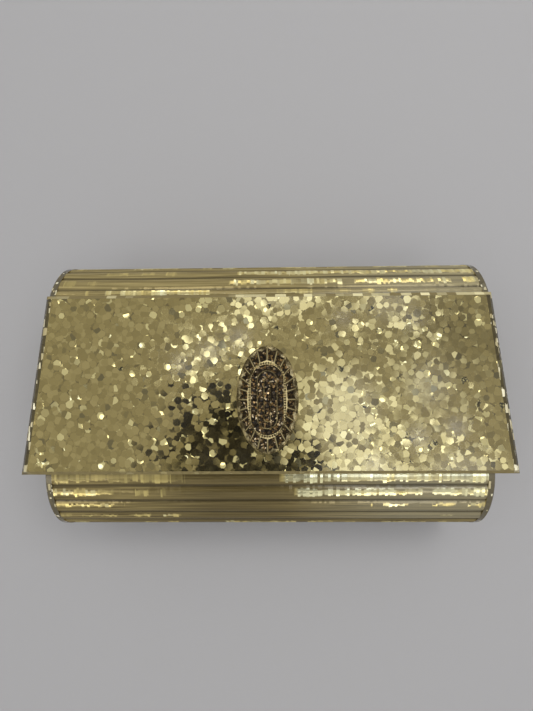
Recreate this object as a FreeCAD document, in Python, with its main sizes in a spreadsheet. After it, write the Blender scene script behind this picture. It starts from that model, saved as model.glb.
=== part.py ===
import FreeCAD
import Part
import Sketcher
import math
import os
import re

# A rigid box clutch bag of gold-flake acrylic: a reeded body, and a hinged lid whose flared front flap
# carries an oval metal ornament and closes with magnets.
# X is the width, +Y points to the hinged top of the bag and +Z out of the flap. The bag lies on its
# back panel, and the origin is under the middle of its box. Millimetres and degrees.

SIZES = {
    # Body: the shell's outside sizes and its walls
    "body_width": 198,
    "body_depth": 60,
    "flat_height": 64.6,
    "sheet_thickness": 3.5,
    "end_thickness": 3,
    "edge_break": 0.6,
    # Rounded rails: wall from the reeds' crests to the inside, the reeds on it, and the narrow bead that
    # lies beside the flap's top edge
    "rail_thickness": 4,
    "reed_height": 0.9,
    "bottom_reeds": 12,
    "rear_reeds": 4,
    "lid_reeds": 6,
    "bead_width": 3.5,
    # Lid: the flap, which stands out past the body's ends and hangs past its flat front, the lip under
    # its top edge, and the line where lid and body part
    "flap_gap": 0.5,
    "flap_thickness": 3.5,
    "flap_overhang": 0.2,
    "flap_flare": 9,
    "flap_drop": 2,
    "flap_bevel": 1.5,
    "lip_length": 10,
    "lip_thickness": 3.5,
    "parting_gap": 0.4,
    # Hinges: angle of the axis round the lid rail, from the front
    "hinge_angle": 120,
    "hinge_spacing": 110,
    "hinge_length": 36,
    "hinge_clearance": 0.3,
    "knuckle_count": 3,
    "knuckle_radius": 1.9,
    "knuckle_gap": 0.2,
    "leaf_thickness": 1.1,
    "leaf_width": 7.4,
    "leaf_corner": 1.5,
    "pin_radius": 1,
    "pin_fit": 0.05,
    "pin_grip": 0.01,
    # Hinge rivets, flush with the leaves
    "rivet_spacing": 24,
    "rivet_reach": 5.2,
    "rivet_radius": 0.9,
    "rivet_length": 2.8,
    "rivet_fit": 0.05,
    # Closure magnets
    "magnet_radius": 5,
    "magnet_thickness": 2,
    "magnet_spacing": 124,
    "magnet_rise": 9,
    "magnet_fit": 0.1,
    # Ornament: collar, rayed boss, crown with stones, and the screws behind
    "emblem_drop": 46.8,
    "emblem_width": 27,
    "emblem_length": 47,
    "collar_thickness": 1.2,
    "collar_rim": 1.3,
    "boss_rise": 5.6,
    "ray_count": 24,
    "ray_depth": 1.1,
    "crown_rim": 1.5,
    "crown_rise": 1.9,
    "crown_slope": 2.8,
    "row_stones": 7,
    "stone_radius": 1.15,
    "stone_table_radius": 0.7,
    "stone_height": 0.6,
    "stone_seat": 0.6,
    "stone_gap": 0.35,
    "bolt_spacing": 22,
    "bolt_radius": 1.25,
    "bolt_fit": 0.1,
    "bolt_grip": 0.01,
    "bolt_bite": 4,
    "bolt_head_radius": 2.4,
    "bolt_head_thickness": 1.5,
}

doc = FreeCAD.newDocument("BoxClutch")
sheet = doc.addObject("Spreadsheet::Sheet", "Sizes")
for row, (alias, size) in enumerate(SIZES.items(), start=1):
    sheet.set(f"A{row}", alias)
    sheet.set(f"B{row}", str(size))
    sheet.setAlias(f"B{row}", alias)
doc.recompute()

# Places that follow from the sizes. Each is a formula, and each word_word in it is a cell of the sheet.
BOTTOM_RADIUS = "(body_depth / 2)"
FLAP_REAR = "(body_depth + flap_gap)"
FLAP_FRONT = f"({FLAP_REAR} + flap_thickness)"
LID_RADIUS = f"({FLAP_FRONT} / 2)"
HALF_HEIGHT = f"((flat_height + {BOTTOM_RADIUS} + {LID_RADIUS}) / 2)"
BOTTOM_Y = f"({BOTTOM_RADIUS} - {HALF_HEIGHT})"
LID_Y = f"({HALF_HEIGHT} - {LID_RADIUS})"
SHELL_LENGTH = "(body_width - 2 * end_thickness)"
LID_GROOVE = f"({LID_RADIUS} - reed_height)"
SEAT_RISE = f"({FLAP_REAR} - {LID_RADIUS})"
# The first groove of the lid rail lies in the flap's rear plane, and the flap's top edge is there. The
# bead goes from it to the next groove, and equal reeds go on from there to the hinges.
FOLD_ANGLE = f"acos({SEAT_RISE} / {LID_GROOVE})"
BEAD_ANGLE = f"({FOLD_ANGLE} + bead_width / {LID_GROOVE} * 1 rad)"
FOLD_REACH = f"sqrt({LID_GROOVE}^2 - {SEAT_RISE}^2)"
FOLD_Y = f"({LID_Y} + {FOLD_REACH})"
LIP_REACH = f"({FOLD_REACH} - lip_length)"
FRONT_TOP_Y = f"({LID_Y} + {LIP_REACH} - parting_gap)"
HINGE_ANGLE = "(hinge_angle * 1 deg)"
GAP_ANGLE = f"(parting_gap / {LID_RADIUS} * 1 rad)"
REAR_ANGLE = f"({HINGE_ANGLE} + {GAP_ANGLE})"
LID_PITCH = f"(({HINGE_ANGLE} - {BEAD_ANGLE}) / lid_reeds)"
REAR_PITCH = f"((180 deg - {REAR_ANGLE}) / rear_reeds)"
HINGE_Y = f"({LID_Y} + {LID_RADIUS} * sin({HINGE_ANGLE}))"
HINGE_Z = f"({LID_RADIUS} + {LID_RADIUS} * cos({HINGE_ANGLE}))"
LID_LEAF_ANGLE = f"({HINGE_ANGLE} - {LID_PITCH} / 2)"
BODY_LEAF_ANGLE = f"({HINGE_ANGLE} + {REAR_PITCH} / 2)"
LID_LEAF_SEAT = f"(-reed_height * cos({LID_PITCH} / 2))"
BODY_LEAF_SEAT = f"(-reed_height * cos({REAR_PITCH} / 2))"
FLAP_TOP_HALF = "(body_width / 2 + flap_overhang)"
FLAP_BOTTOM_HALF = "(body_width / 2 + flap_flare)"
FLAP_HEIGHT = f"({FOLD_Y} - {BOTTOM_Y} + flap_drop)"
MAGNET_Y = f"({BOTTOM_Y} + magnet_rise)"
EMBLEM_Y = f"({FOLD_Y} - emblem_drop)"
BOSS_RIM = "(collar_thickness + boss_rise)"
STONE_PITCH = "(2 * stone_radius + stone_gap)"
HALF_ROW = f"((row_stones - 1) * {STONE_PITCH} / 2)"
TABLE_REACH = f"({STONE_PITCH} + stone_radius + stone_gap)"
CROWN_REACH = f"({TABLE_REACH} + crown_slope)"
SIDES = {"left": -1, "right": 1}


def bound(formula):
    """The formula with each size read from the sheet."""
    return re.sub(r"[a-z]+(?:_[a-z]+)+", lambda word: "Sizes." + word.group(), formula)


def number(formula):
    """What the formula comes to now."""
    result = sheet.evalExpression(bound(formula))
    return float(getattr(result, "Value", result))


def polar(radius, angle):
    """A place in the YZ plane: the angle goes from +Z towards +Y."""
    return f"{radius} * sin({angle})", f"{radius} * cos({angle})"


def place(item, x="0", y="0", z="0"):
    """Binds an object's place to formulas."""
    for axis, formula in (("x", x), ("y", y), ("z", z)):
        item.setExpression(f"Placement.Base.{axis}", bound(formula))


def new_body(label, x="0", y="0", z="0", lean=None):
    """An empty body with its own frame, turned about X from +Z towards +Y by lean."""
    body = doc.addObject("PartDesign::Body", label)
    body.Label = label
    if lean:
        body.Placement.Rotation = FreeCAD.Rotation(FreeCAD.Vector(-1, 0, 0), number(lean))
        body.setExpression("Placement.Rotation.Angle", bound(lean))
    place(body, x, y, z)
    return body


def new_sketch(body, name, role, rise=None):
    """A sketch on one of the body's origin planes, lifted along its normal by rise."""
    sketch = body.newObject("Sketcher::SketchObject", f"{body.Name}_{name}")
    plane = next(item for item in body.Origin.OriginFeatures if item.Role == role)
    sketch.AttachmentSupport = [(plane, "")]
    sketch.MapMode = "FlatFace"
    if rise:
        sketch.setExpression("AttachmentOffset.Base.z", bound(rise))
    return sketch


def lean_sketch(sketch, y, z, lean):
    """Moves a sketch of the XY plane to y, z and turns it about X from +Z towards +Y."""
    turn = FreeCAD.Rotation(FreeCAD.Vector(-1, 0, 0), number(lean))
    sketch.AttachmentOffset = FreeCAD.Placement(FreeCAD.Vector(), turn)
    sketch.setExpression("AttachmentOffset.Rotation.Angle", bound(lean))
    sketch.setExpression("AttachmentOffset.Base.y", bound(y))
    sketch.setExpression("AttachmentOffset.Base.z", bound(z))


def tie(sketch, kind, formula, *ends):
    """Adds a dimension to the sketch and binds it to a formula."""
    index = sketch.addConstraint(Sketcher.Constraint(kind, *ends, number(formula)))
    name = f"size_{index}"
    sketch.renameConstraint(index, name)
    sketch.setExpression(f"Constraints.{name}", bound(formula))


def arc_between(start, end, radius, turn):
    """The short arc from start to end; turn is 1 for anticlockwise and -1 for clockwise."""
    half_chord = (end - start) / 2
    to_left = FreeCAD.Vector(-half_chord.y, half_chord.x, 0).normalize()
    sagging = math.sqrt(max(radius**2 - half_chord.Length**2, 0))
    centre = start + half_chord + to_left * sagging * turn
    first, last = (start, end) if turn > 0 else (end, start)
    first_angle = math.atan2(first.y - centre.y, first.x - centre.x)
    last_angle = math.atan2(last.y - centre.y, last.x - centre.x)
    if last_angle < first_angle:
        last_angle += 2 * math.pi
    circle = Part.Circle(centre, FreeCAD.Vector(0, 0, 1), radius)
    return Part.ArcOfCircle(circle, first_angle, last_angle)


def draw_outline(sketch, corners, arcs=None):
    """A closed outline through corners. arcs gives the radius and turn of the sides that aren't straight,
    by the number of the corner they start from."""
    arcs = arcs or {}
    points = [FreeCAD.Vector(number(across), number(up), 0) for across, up in corners]
    sides = []
    for index, start in enumerate(points):
        end = points[(index + 1) % len(points)]
        if index in arcs:
            radius, turn = arcs[index]
            side = sketch.addGeometry(arc_between(start, end, number(radius), turn))
            sides.append((side, 1, 2) if turn > 0 else (side, 2, 1))
        else:
            side = sketch.addGeometry(Part.LineSegment(start, end))
            sides.append((side, 1, 2))
    for index, (side, start, end) in enumerate(sides):
        following, following_start, _ = sides[(index + 1) % len(sides)]
        sketch.addConstraint(Sketcher.Constraint("Coincident", side, end, following, following_start))
    for (side, start, _), (across, up) in zip(sides, corners):
        tie(sketch, "DistanceX", across, -1, 1, side, start)
        tie(sketch, "DistanceY", up, -1, 1, side, start)
    for index, (radius, _) in arcs.items():
        tie(sketch, "Radius", radius, sides[index][0])


def draw_rectangle(sketch, left, right, bottom, top):
    """A rectangle between four formulas."""
    draw_outline(sketch, [(left, bottom), (right, bottom), (right, top), (left, top)])


def draw_circles(sketch, centres, radius):
    """Circles of one radius at the given centres."""
    for across, up in centres:
        centre = FreeCAD.Vector(number(across), number(up), 0)
        circle = sketch.addGeometry(Part.Circle(centre, FreeCAD.Vector(0, 0, 1), number(radius)))
        tie(sketch, "DistanceX", across, -1, 1, circle, 3)
        tie(sketch, "DistanceY", up, -1, 1, circle, 3)
        tie(sketch, "Radius", radius, circle)


def extrude(body, kind, sketch, length, symmetric=False, backwards=False):
    """A Pad or Pocket of the sketch. A cut that takes nothing away is an error."""
    doc.recompute()
    before = body.Shape.Volume if kind == "Pocket" else 0
    feature = body.newObject(f"PartDesign::{kind}", f"{sketch.Name}_{kind.lower()}")
    feature.Profile = sketch
    if symmetric:
        feature.SideType = "Symmetric"
    feature.Reversed = backwards
    feature.setExpression("Length", bound(length))
    body.Tip = feature
    doc.recompute()
    if kind == "Pocket" and not body.Shape.Volume < before:
        raise RuntimeError(f"{sketch.Name} cuts nothing")
    return feature


def dress(body, kind, size, chosen):
    """A Chamfer or Fillet along the edges of the body that chosen picks."""
    base = body.Tip
    edges = [f"Edge{index}" for index, edge in enumerate(base.Shape.Edges, start=1) if chosen(edge)]
    feature = body.newObject(f"PartDesign::{kind}", f"{body.Name}_{kind.lower()}")
    feature.Base = (base, edges)
    feature.setExpression("Size" if kind == "Chamfer" else "Radius", bound(size))
    body.Tip = feature
    doc.recompute()


def lies_at(edge, axis, level):
    """Whether the whole edge lies at one level of an axis."""
    places = [getattr(edge.valueAt(step), axis) for step in edge.ParameterRange]
    places.append(getattr(edge.CenterOfMass, axis))
    return all(abs(place_on - level) < 1e-6 for place_on in places)


def reed_radius(crest, groove, pitch):
    """Radius of a reed that rises to crest between two grooves one pitch apart."""
    half_chord = f"({groove} * sin({pitch} / 2))"
    rise = f"({crest} - {groove} * cos({pitch} / 2))"
    return f"(({rise}^2 + {half_chord}^2) / (2 * {rise}))"


def even_grooves(first, last, count):
    """Angles of the grooves of a row of equal reeds, from the first angle to the last."""
    steps = range(round(number(count)) + 1)
    return [f"({first} + ({last} - {first}) * {step} / {count})" for step in steps]


def reeded_arc(crest, grooves, turn):
    """Corners and arcs of a row of reeds round the origin, one between each two grooves."""
    foot = f"({crest} - reed_height)"
    corners = [polar(foot, angle) for angle in grooves]
    arcs = {}
    for step, (near, far) in enumerate(zip(grooves, grooves[1:])):
        arcs[step] = (reed_radius(crest, foot, f"({far} - {near})"), turn)
    return corners, arcs


def reeded_rail(label, y, crest, first, last, count, turn):
    """A rounded rail with reeds outside, a smooth inside and flat ends towards its centre."""
    inside = f"({crest} - rail_thickness)"
    corners, arcs = reeded_arc(crest, even_grooves(first, last, count), turn)
    for angle in (last, f"(({first} + {last}) / 2)"):
        arcs[len(corners)] = (inside, -turn)
        corners.append(polar(inside, angle))
    corners.append(polar(inside, first))
    rail = new_body(label, y=y, z=crest)
    outline = new_sketch(rail, "outline", "YZ_Plane")
    draw_outline(outline, corners, arcs)
    extrude(rail, "Pad", outline, SHELL_LENGTH, symmetric=True)
    return rail


def hinge_seats(rail, side, lean, seat):
    """Cuts the flat seats, knuckle hollows and rivet holes of both hinges into a rail's edge.
    side is -1 where the leaf runs towards the front of the rail, and 1 where it runs to the back."""
    axis_y, axis_z = polar(LID_RADIUS, HINGE_ANGLE)
    reach = f"(leaf_width + hinge_clearance) * {side}"
    half_length = "(hinge_length / 2 + hinge_clearance)"
    seats = new_sketch(rail, "seats", "XY_Plane")
    lean_sketch(seats, f"{axis_y} + {seat} * sin({lean})", f"{axis_z} + {seat} * cos({lean})", lean)
    for hand in SIDES.values():
        middle = f"{hand} * hinge_spacing / 2"
        near, far = (reach, "0") if side < 0 else ("0", reach)
        draw_rectangle(seats, f"{middle} - {half_length}", f"{middle} + {half_length}", near, far)
    extrude(rail, "Pocket", seats, "knuckle_radius + reed_height", backwards=True)
    for name, hand in SIDES.items():
        hollow = new_sketch(rail, f"{name}_hollow", "YZ_Plane", f"{hand} * hinge_spacing / 2")
        draw_circles(hollow, [(axis_y, axis_z)], "knuckle_radius + hinge_clearance")
        length = "hinge_length + 2 * hinge_clearance"
        extrude(rail, "Pocket", hollow, length, symmetric=True)
    holes = new_sketch(rail, "holes", "XY_Plane")
    lean_sketch(holes, axis_y, axis_z, lean)
    draw_circles(holes, rivet_places(side), "rivet_radius + rivet_fit")
    extrude(rail, "Pocket", holes, f"rivet_length + rivet_fit - leaf_thickness - {seat}")


def rivet_places(side):
    """Where the rivets of both hinges stand, along X and away from the hinge axis."""
    places = []
    for hand in SIDES.values():
        for end in (-1, 1):
            across = f"{hand} * hinge_spacing / 2 + {end} * rivet_spacing / 2"
            places.append((across, f"{side} * rivet_reach"))
    return places


def magnet_places(y):
    """Where the two magnets stand, with y as seen from the piece that holds them."""
    return [(f"{hand} * magnet_spacing / 2", y) for hand in SIDES.values()]


def bolt_places(y):
    """Where the ornament's two screws stand, one above the other."""
    return [("0", f"{y} + {end} * bolt_spacing / 2") for end in (-1, 1)]


# Body


def make_back_panel():
    """The flat sheet that the bag lies on."""
    panel = doc.addObject("Part::Box", "back_panel")
    panel.Label = "back_panel"
    panel.setExpression("Length", bound(SHELL_LENGTH))
    panel.setExpression("Width", bound("flat_height"))
    panel.setExpression("Height", bound("sheet_thickness"))
    place(panel, x=f"-{SHELL_LENGTH} / 2", y=BOTTOM_Y)
    return panel


def make_front_panel():
    """The flat sheet under the flap, with pockets for the magnets in its outer face."""
    panel = new_body("front_panel", y=BOTTOM_Y, z="body_depth")
    outline = new_sketch(panel, "outline", "XY_Plane")
    half = f"{SHELL_LENGTH} / 2"
    draw_rectangle(outline, f"-{half}", half, "0", f"{FRONT_TOP_Y} - {BOTTOM_Y}")
    extrude(panel, "Pad", outline, "sheet_thickness", backwards=True)
    pockets = new_sketch(panel, "pockets", "XY_Plane")
    draw_circles(pockets, magnet_places(f"{MAGNET_Y} - {BOTTOM_Y}"), "magnet_radius + magnet_fit")
    extrude(panel, "Pocket", pockets, "magnet_thickness")
    return panel


def make_end_panel(label, side):
    """An end wall of the body: rounded below, cut along the parting line above."""
    start = "body_width / 2 - end_thickness" if side > 0 else "-body_width / 2"
    panel = new_body(label, x=start)
    rear_y, rear_z = polar(LID_RADIUS, REAR_ANGLE)
    corners = [
        (FRONT_TOP_Y, "body_depth"),
        (BOTTOM_Y, "body_depth"),
        (f"{BOTTOM_Y} - {BOTTOM_RADIUS}", BOTTOM_RADIUS),
        (BOTTOM_Y, "0"),
        (LID_Y, "0"),
        (f"{LID_Y} + {rear_y}", f"{LID_RADIUS} + {rear_z}"),
    ]
    outline = new_sketch(panel, "outline", "YZ_Plane")
    draw_outline(outline, corners, {1: (BOTTOM_RADIUS, 1), 2: (BOTTOM_RADIUS, 1), 4: (LID_RADIUS, 1)})
    extrude(panel, "Pad", outline, "end_thickness")
    outer = number("end_thickness") if side > 0 else 0
    dress(panel, "Chamfer", "edge_break", lambda edge: is_round(edge) and lies_at(edge, "x", outer))
    return panel


def is_round(edge):
    """Whether the edge is an arc of a circle."""
    return edge.Curve.TypeId == "Part::GeomCircle"


def make_rear_rail():
    """The rear shoulder of the body, from the back panel up to the hinges."""
    rail = reeded_rail("rear_rail", LID_Y, LID_RADIUS, REAR_ANGLE, "180 deg", "rear_reeds", -1)
    hinge_seats(rail, 1, BODY_LEAF_ANGLE, BODY_LEAF_SEAT)
    return rail


def make_bottom_rail():
    """The rounded bottom, from the front panel round to the back panel."""
    return reeded_rail("bottom_rail", BOTTOM_Y, BOTTOM_RADIUS, "0 deg", "-180 deg", "bottom_reeds", 1)


# Lid


def make_lid_rail():
    """The rounded top with a flat lip, which the flap is bonded to."""
    inside = f"({LID_RADIUS} - rail_thickness)"
    lip_inside = f"({SEAT_RISE} - lip_thickness)"
    grooves = [FOLD_ANGLE] + even_grooves(BEAD_ANGLE, HINGE_ANGLE, "lid_reeds")
    corners, arcs = reeded_arc(LID_RADIUS, grooves, -1)
    arcs[len(corners)] = (inside, 1)
    corners += [
        polar(inside, HINGE_ANGLE),
        (f"sqrt({inside}^2 - {lip_inside}^2)", lip_inside),
        (LIP_REACH, lip_inside),
        (LIP_REACH, SEAT_RISE),
    ]
    rail = new_body("lid_rail", y=LID_Y, z=LID_RADIUS)
    outline = new_sketch(rail, "outline", "YZ_Plane")
    draw_outline(outline, corners, arcs)
    extrude(rail, "Pad", outline, SHELL_LENGTH, symmetric=True)
    hinge_seats(rail, -1, LID_LEAF_ANGLE, LID_LEAF_SEAT)
    return rail


def make_lid_cheek(label, side):
    """An end wall of the lid, between the flap, the rounded top and the parting line."""
    start = "body_width / 2 - end_thickness" if side > 0 else "-body_width / 2"
    cheek = new_body(label, x=start, y=LID_Y, z=LID_RADIUS)
    corners = [
        (LIP_REACH, SEAT_RISE),
        (FOLD_REACH, SEAT_RISE),
        (FOLD_REACH, f"sqrt({LID_RADIUS}^2 - {FOLD_REACH}^2)"),
        polar(LID_RADIUS, HINGE_ANGLE),
    ]
    outline = new_sketch(cheek, "outline", "YZ_Plane")
    draw_outline(outline, corners, {2: (LID_RADIUS, -1)})
    extrude(cheek, "Pad", outline, "end_thickness")
    outer = number("end_thickness") if side > 0 else 0
    dress(cheek, "Chamfer", "edge_break", lambda edge: is_round(edge) and lies_at(edge, "x", outer))
    return cheek


def make_flap_panel():
    """The flared front flap, with magnet pockets and sunk screw holes in its rear face."""
    flap = new_body("flap_panel", y=FOLD_Y, z=FLAP_REAR)
    outline = new_sketch(flap, "outline", "XY_Plane")
    corners = [
        (f"-{FLAP_TOP_HALF}", "0"),
        (f"-{FLAP_BOTTOM_HALF}", f"-{FLAP_HEIGHT}"),
        (FLAP_BOTTOM_HALF, f"-{FLAP_HEIGHT}"),
        (FLAP_TOP_HALF, "0"),
    ]
    draw_outline(outline, corners)
    extrude(flap, "Pad", outline, "flap_thickness")
    front = number("flap_thickness")
    dress(flap, "Chamfer", "flap_bevel", lambda edge: lies_at(edge, "z", front))
    pockets = new_sketch(flap, "pockets", "XY_Plane")
    draw_circles(pockets, magnet_places(f"{MAGNET_Y} - {FOLD_Y}"), "magnet_radius + magnet_fit")
    extrude(flap, "Pocket", pockets, "magnet_thickness", backwards=True)
    sinks = new_sketch(flap, "sinks", "XY_Plane")
    draw_circles(sinks, bolt_places("-emblem_drop"), "bolt_head_radius + bolt_fit")
    extrude(flap, "Pocket", sinks, "bolt_head_thickness", backwards=True)
    holes = new_sketch(flap, "holes", "XY_Plane")
    draw_circles(holes, bolt_places("-emblem_drop"), "bolt_radius + bolt_fit")
    extrude(flap, "Pocket", holes, "flap_thickness", backwards=True)
    return flap


# Hinges and magnets


def make_leaf(label, hand, side, lean, seat, bore, slots):
    """A hinge leaf: a plate on its seat and the knuckles left between the slots.
    slots are the numbers of the knuckles that belong to the other leaf."""
    leaf = new_body(label, x=f"{hand} * hinge_spacing / 2", y=HINGE_Y, z=HINGE_Z, lean=lean)
    edge = f"{side} * leaf_width"
    plate = new_sketch(leaf, "plate", "YZ_Plane")
    near, far = (edge, "0") if side < 0 else ("0", edge)
    draw_rectangle(plate, near, far, seat, f"{seat} + leaf_thickness")
    extrude(leaf, "Pad", plate, "hinge_length", symmetric=True)
    outer = number(edge)
    dress(leaf, "Fillet", "leaf_corner", lambda line: lies_at(line, "y", outer) and upright(line))
    barrel = new_sketch(leaf, "barrel", "YZ_Plane")
    draw_circles(barrel, [("0", "0")], "knuckle_radius")
    extrude(leaf, "Pad", barrel, "hinge_length", symmetric=True)
    hole = new_sketch(leaf, "bore", "YZ_Plane")
    draw_circles(hole, [("0", "0")], bore)
    extrude(leaf, "Pocket", hole, "hinge_length", symmetric=True)
    cuts = new_sketch(leaf, "slots", "XY_Plane")
    knuckle = "hinge_length / knuckle_count"
    clear = "(knuckle_radius + knuckle_gap)"
    for slot in slots:
        start = f"{slot} * {knuckle} - hinge_length / 2 - knuckle_gap / 2"
        draw_rectangle(cuts, start, f"{start} + {knuckle} + knuckle_gap", f"-{clear}", clear)
    extrude(leaf, "Pocket", cuts, f"2 * {clear}", symmetric=True)
    holes = new_sketch(leaf, "holes", "XY_Plane", seat)
    places = [(f"{end} * rivet_spacing / 2", f"{side} * rivet_reach") for end in (-1, 1)]
    draw_circles(holes, places, "rivet_radius + rivet_fit")
    extrude(leaf, "Pocket", holes, "leaf_thickness", backwards=True)
    return leaf


def upright(edge):
    """Whether the edge stands along Z."""
    first, last = edge.ParameterRange
    return abs(abs(edge.tangentAt(first).z) - 1) < 1e-6


def make_pin(label, hand):
    """The pin that the knuckles of one hinge turn on, pressed into the body's leaf."""
    pin = new_body(label, x=f"{hand} * hinge_spacing / 2", y=HINGE_Y, z=HINGE_Z)
    outline = new_sketch(pin, "outline", "YZ_Plane")
    draw_circles(outline, [("0", "0")], "pin_radius")
    extrude(pin, "Pad", outline, "hinge_length", symmetric=True)
    return pin


def make_rivets(label, side, lean, seat):
    """The rivets of both hinges in one of the two rails."""
    rivets = new_body(label, y=HINGE_Y, z=HINGE_Z, lean=lean)
    rivets.AllowCompound = True
    outline = new_sketch(rivets, "outline", "XY_Plane", f"{seat} + leaf_thickness")
    draw_circles(outline, rivet_places(side), "rivet_radius")
    extrude(rivets, "Pad", outline, "rivet_length", backwards=True)
    return rivets


def make_magnets(label, z):
    """The two disc magnets of one side of the closure."""
    magnets = new_body(label, z=z)
    magnets.AllowCompound = True
    outline = new_sketch(magnets, "outline", "XY_Plane")
    draw_circles(outline, magnet_places(MAGNET_Y), "magnet_radius")
    extrude(magnets, "Pad", outline, "magnet_thickness")
    return magnets


# Ornament


def oval(width, length):
    """An ellipse round the origin, with its long way along Y."""
    tip = FreeCAD.Vector(0, length / 2, 0)
    side = FreeCAD.Vector(width / 2, 0, 0)
    return Part.Ellipse(tip, side, FreeCAD.Vector()).toShape()


def rayed_oval(width, length, level, ray):
    """The corners of a ring of rays: crests on an oval, and valleys the depth of a ray inside it."""
    count = 2 * round(number("ray_count"))
    crests = oval(width, length).discretize(count + 1)
    valleys = oval(width - 2 * ray, length - 2 * ray).discretize(count + 1)
    lift = FreeCAD.Vector(0, 0, level)
    return [lift + (valleys if step % 2 else crests)[step] for step in range(count)]


def make_emblem_collar():
    """The flat oval plate under the boss, with a bevelled edge."""
    thickness = number("collar_thickness")
    width = number("emblem_width")
    length = number("emblem_length")
    bevel = thickness / 2
    plate = flat_sided([
        rayed_oval(width, length, 0, 0),
        rayed_oval(width, length, thickness - bevel, 0),
        rayed_oval(width - 2 * bevel, length - 2 * bevel, thickness, 0),
    ])
    hole = number("bolt_radius + bolt_fit")
    for _, along in bolt_places("0"):
        plate = plate.cut(Part.makeCylinder(hole, thickness, FreeCAD.Vector(0, number(along), 0)))
    return feature("emblem_collar", plate)


def make_emblem_boss():
    """The rayed oval boss with a stone-set crown, and blind holes for its screws."""
    depth = number("bolt_bite + bolt_fit")
    hole = number("bolt_radius + bolt_grip")
    base = number("collar_thickness")
    cuts = []
    for _, along in bolt_places("0"):
        cuts.append(Part.makeCylinder(hole, depth, FreeCAD.Vector(0, number(along), base)))
    seat_floor = -number("stone_seat")
    seat_top = number("stone_seat + crown_rise")
    girdle = number("stone_radius")
    cuts += copies_on_crown(flat_sided([hexagon(girdle, seat_floor), hexagon(girdle, seat_top)]))
    return feature("emblem_boss", boss_skirt().fuse(crown()).cut(cuts))


def boss_skirt():
    """The side of the boss: flat-cut rays which swell and then draw in to the rim round the crown."""
    foot = number("collar_thickness")
    rise = number("boss_rise")
    width = number("emblem_width - 2 * collar_rim")
    length = number("emblem_length - 2 * collar_rim")
    rim_width = number(f"2 * ({CROWN_REACH} + crown_rim)")
    rim_length = number(f"2 * ({HALF_ROW} + {CROWN_REACH} + crown_rim)")
    ray = number("ray_depth")
    # Share of the rise, share of the way in to the rim, share of the rays' depth
    stations = [(0, 0.05, 0.7), (0.35, 0, 1), (0.75, 0.5, 0.9), (1, 1, 0)]
    rings = []
    for up, inward, share in stations:
        across = width + (rim_width - width) * inward
        along = length + (rim_length - length) * inward
        rings.append(rayed_oval(across, along, foot + rise * up, ray * share))
    return flat_sided(rings)


def crown():
    """The long round-ended block on top of the boss, with a flat table and sloping sides."""
    rim = number(BOSS_RIM)
    foot = round_ended(number(CROWN_REACH), rim)
    table = round_ended(number(TABLE_REACH), rim + number("crown_rise"))
    return Part.makeLoft([foot, table], True, True)


def round_ended(reach, level):
    """The outline that keeps the distance reach from the middle row of stones."""
    half = number(HALF_ROW)
    right_low = FreeCAD.Vector(reach, -half, level)
    right_high = FreeCAD.Vector(reach, half, level)
    left_high = FreeCAD.Vector(-reach, half, level)
    left_low = FreeCAD.Vector(-reach, -half, level)
    top = FreeCAD.Vector(0, half + reach, level)
    bottom = FreeCAD.Vector(0, -half - reach, level)
    edges = [
        Part.LineSegment(right_low, right_high),
        Part.Arc(right_high, top, left_high),
        Part.LineSegment(left_high, left_low),
        Part.Arc(left_low, bottom, right_low),
    ]
    return Part.Wire([edge.toShape() for edge in edges])


def stone_places():
    """Each stone's foot and the way it points: a row and a ring on the table, and a ring on the slope."""
    pitch = number(STONE_PITCH)
    rim = number(BOSS_RIM)
    rise = number("crown_rise")
    upward = FreeCAD.Vector(0, 0, 1)
    table = FreeCAD.Vector(0, 0, rim + rise)
    row = round(number("row_stones"))
    half = number(HALF_ROW)
    places = [(table + FreeCAD.Vector(0, step * pitch - half, 0), upward) for step in range(row)]
    for spot, _ in ring_places(pitch):
        places.append((table + spot, upward))
    lean = math.atan2(rise, number("crown_slope"))
    slope = FreeCAD.Vector(0, 0, rim + rise / 2)
    for spot, outward in ring_places(number(f"({TABLE_REACH} + {CROWN_REACH}) / 2")):
        places.append((slope + spot, outward * math.sin(lean) + upward * math.cos(lean)))
    return places


def ring_places(reach):
    """Even places on a track at the distance reach from the middle row, and the way out from the row."""
    track = round_ended(reach, 0)
    count = int(track.Length / number(STONE_PITCH))
    half = number(HALF_ROW)
    places = []
    for spot in track.discretize(count + 1)[:count]:
        on_row = FreeCAD.Vector(0, min(max(spot.y, -half), half), 0)
        places.append((spot, (spot - on_row).normalize()))
    return places


def make_emblem_stones():
    """Six-sided stones with a flat table, each in its own seat."""
    girdle = number("stone_radius")
    table = number("stone_table_radius")
    floor = -number("stone_seat")
    stone = flat_sided([hexagon(girdle, floor), hexagon(table, number("stone_height"))])
    return feature("emblem_stones", Part.makeCompound(copies_on_crown(stone)))


def copies_on_crown(solid):
    """A copy of the solid at each stone's place, standing square to the crown."""
    copies = []
    for foot, normal in stone_places():
        copy = solid.copy()
        copy.Placement = FreeCAD.Placement(foot, FreeCAD.Rotation(FreeCAD.Vector(0, 0, 1), normal))
        copies.append(copy)
    return copies


def flat_sided(rings):
    """A solid with flat faces between rings of corners, from the lowest ring to the highest."""
    faces = [flat_face(rings[0]), flat_face(rings[-1])]
    for lower, upper in zip(rings, rings[1:]):
        for step in range(len(lower)):
            low, low_next = lower[step - 1], lower[step]
            high, high_next = upper[step - 1], upper[step]
            faces.append(flat_face([low, low_next, high_next]))
            faces.append(flat_face([low, high_next, high]))
    solid = Part.Solid(Part.Shell(faces)).removeSplitter()
    return solid if solid.Volume > 0 else solid.reversed()


def flat_face(corners):
    """A flat face inside a closed outline."""
    return Part.Face(Part.makePolygon(corners + corners[:1]))


def hexagon(radius, level):
    """The corners of a level hexagon."""
    corners = []
    for step in range(6):
        angle = math.pi * step / 3
        corners.append(FreeCAD.Vector(radius * math.cos(angle), radius * math.sin(angle), level))
    return corners


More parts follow.
